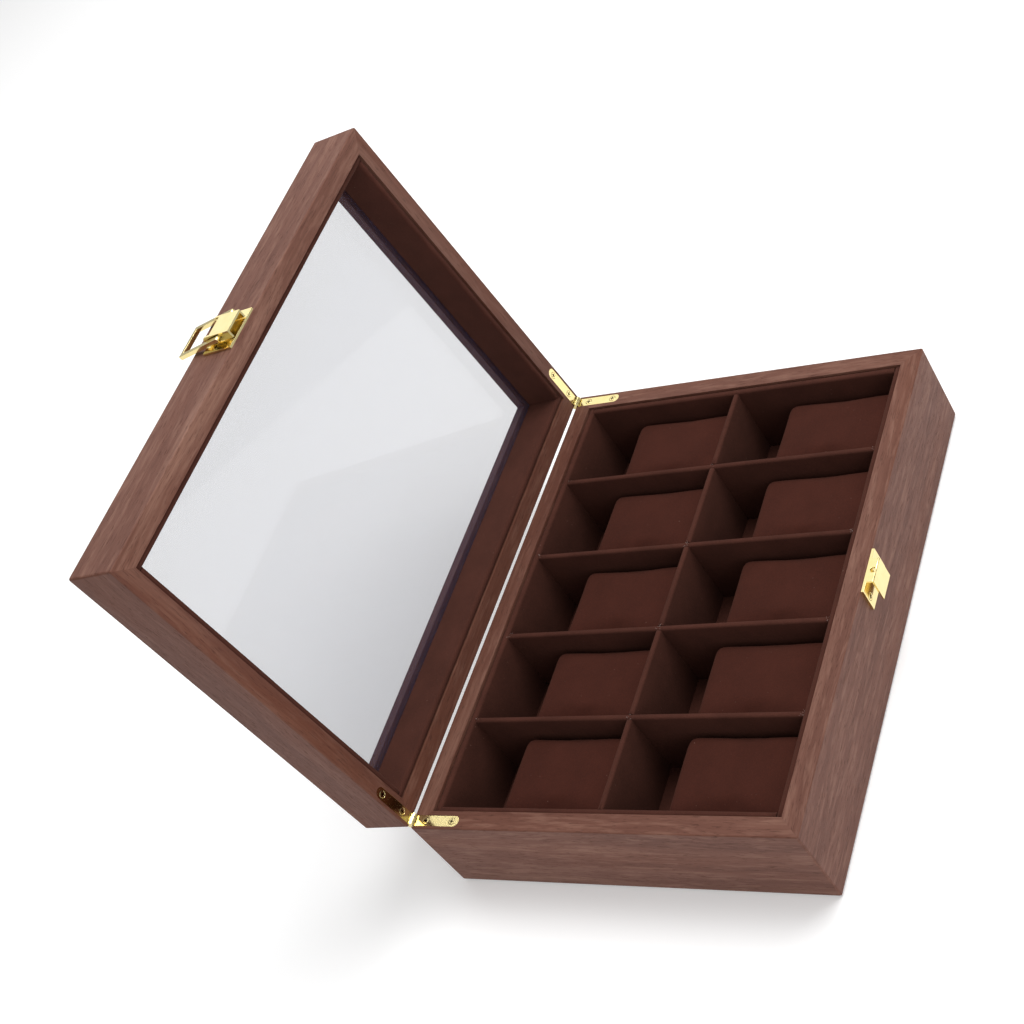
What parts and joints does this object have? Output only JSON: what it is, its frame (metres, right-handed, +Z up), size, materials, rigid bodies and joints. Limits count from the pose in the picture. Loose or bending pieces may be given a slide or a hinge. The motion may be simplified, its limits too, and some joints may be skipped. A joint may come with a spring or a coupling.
{
  "type": "watch box",
  "caption": "Watch box with a mitred walnut case, a glazed lid on stop hinges, suede-lined slots with lift-out watch pillows, and a toggle latch at the front.",
  "frame": {"origin": "middle of the felt underside, on the plane the box stands on", "axes": "+Z up, +X along the hinge line to the right seen from the latch, +Y from the latch to the hinges"},
  "size_m": [0.285, 0.2724, 0.2671],
  "materials": {
    "walnut": "open-pored veneer under a satin lacquer",
    "bottom_board": "raw fibreboard",
    "felt": "thin felt",
    "suede": "brushed suede cloth",
    "pillow_suede": "brushed suede cloth",
    "glass": "clear float glass",
    "brass": "polished",
    "screws": "polished"
  },
  "bodies": {
    "case": {"base_front_wall": "walnut", "base_back_wall": "walnut", "base_left_wall": "walnut", "base_right_wall": "walnut", "foot_felt": "felt", "bottom_panel": "bottom_board", "floor_liner": "suede", "base_front_liner": "suede", "base_back_liner": "suede", "base_left_liner": "suede", "base_right_liner": "suede", "long_divider": "suede", "cross_divider_1": "suede", "cross_divider_2": "suede", "cross_divider_3": "suede", "cross_divider_4": "suede", "hinge_left_base_leaf": "brass", "hinge_right_base_leaf": "brass", "hinge_left_pin": "brass", "hinge_right_pin": "brass", "base_hinge_screws": "screws", "strike_plate": "brass", "strike_screws": "screws"},
    "lid": {"lid_front_wall": "walnut", "lid_back_wall": "walnut", "lid_left_wall": "walnut", "lid_right_wall": "walnut", "glass_pane": "glass", "lid_front_liner": "suede", "lid_back_liner": "suede", "lid_left_liner": "suede", "lid_right_liner": "suede", "hinge_left_lid_leaf": "brass", "hinge_right_lid_leaf": "brass", "lid_hinge_screws": "screws", "latch_plate": "brass", "latch_pin": "brass", "latch_screws": "screws"},
    "latch_lever": {"latch_lever": "brass"},
    "latch_bail": {"latch_bail": "brass"},
    "watch_pillow_1": {"watch_pillow_1": "pillow_suede"},
    "watch_pillow_2": {"watch_pillow_2": "pillow_suede"},
    "watch_pillow_3": {"watch_pillow_3": "pillow_suede"},
    "watch_pillow_4": {"watch_pillow_4": "pillow_suede"},
    "watch_pillow_5": {"watch_pillow_5": "pillow_suede"},
    "watch_pillow_6": {"watch_pillow_6": "pillow_suede"},
    "watch_pillow_7": {"watch_pillow_7": "pillow_suede"},
    "watch_pillow_8": {"watch_pillow_8": "pillow_suede"},
    "watch_pillow_9": {"watch_pillow_9": "pillow_suede"},
    "watch_pillow_10": {"watch_pillow_10": "pillow_suede"}
  },
  "joints": [
    {"name": "lid_hinge", "type": "hinge", "parent": "case", "child": "lid", "pos_m": [0, 0.1055, 0.0515], "axis": [-1, 0, 0], "range_deg": [-95, 0]},
    {"name": "latch_lever_turn", "type": "hinge", "parent": "lid", "child": "latch_lever", "pos_m": [0, 0.14131, 0.26349], "axis": [1, 0, 0], "range_deg": [-180, 0]},
    {"name": "latch_bail_turn", "type": "hinge", "parent": "latch_lever", "child": "latch_bail", "pos_m": [0, 0.1328, 0.26483], "axis": [1, 0, 0], "range_deg": [0, 368.4]},
    {"name": "watch_pillow_1_lift", "type": "slide", "parent": "case", "child": "watch_pillow_1", "axis": [0, 0, 1], "range_m": [0, 0.05]},
    {"name": "watch_pillow_2_lift", "type": "slide", "parent": "case", "child": "watch_pillow_2", "axis": [0, 0, 1], "range_m": [0, 0.05]},
    {"name": "watch_pillow_3_lift", "type": "slide", "parent": "case", "child": "watch_pillow_3", "axis": [0, 0, 1], "range_m": [0, 0.05]},
    {"name": "watch_pillow_4_lift", "type": "slide", "parent": "case", "child": "watch_pillow_4", "axis": [0, 0, 1], "range_m": [0, 0.05]},
    {"name": "watch_pillow_5_lift", "type": "slide", "parent": "case", "child": "watch_pillow_5", "axis": [0, 0, 1], "range_m": [0, 0.05]},
    {"name": "watch_pillow_6_lift", "type": "slide", "parent": "case", "child": "watch_pillow_6", "axis": [0, 0, 1], "range_m": [0, 0.05]},
    {"name": "watch_pillow_7_lift", "type": "slide", "parent": "case", "child": "watch_pillow_7", "axis": [0, 0, 1], "range_m": [0, 0.05]},
    {"name": "watch_pillow_8_lift", "type": "slide", "parent": "case", "child": "watch_pillow_8", "axis": [0, 0, 1], "range_m": [0, 0.05]},
    {"name": "watch_pillow_9_lift", "type": "slide", "parent": "case", "child": "watch_pillow_9", "axis": [0, 0, 1], "range_m": [0, 0.05]},
    {"name": "watch_pillow_10_lift", "type": "slide", "parent": "case", "child": "watch_pillow_10", "axis": [0, 0, 1], "range_m": [0, 0.05]}
  ],
  "couplings": [
    {"joint": "latch_bail_turn", "follows": "latch_lever_turn", "ratio": -2.0467}
  ]
}
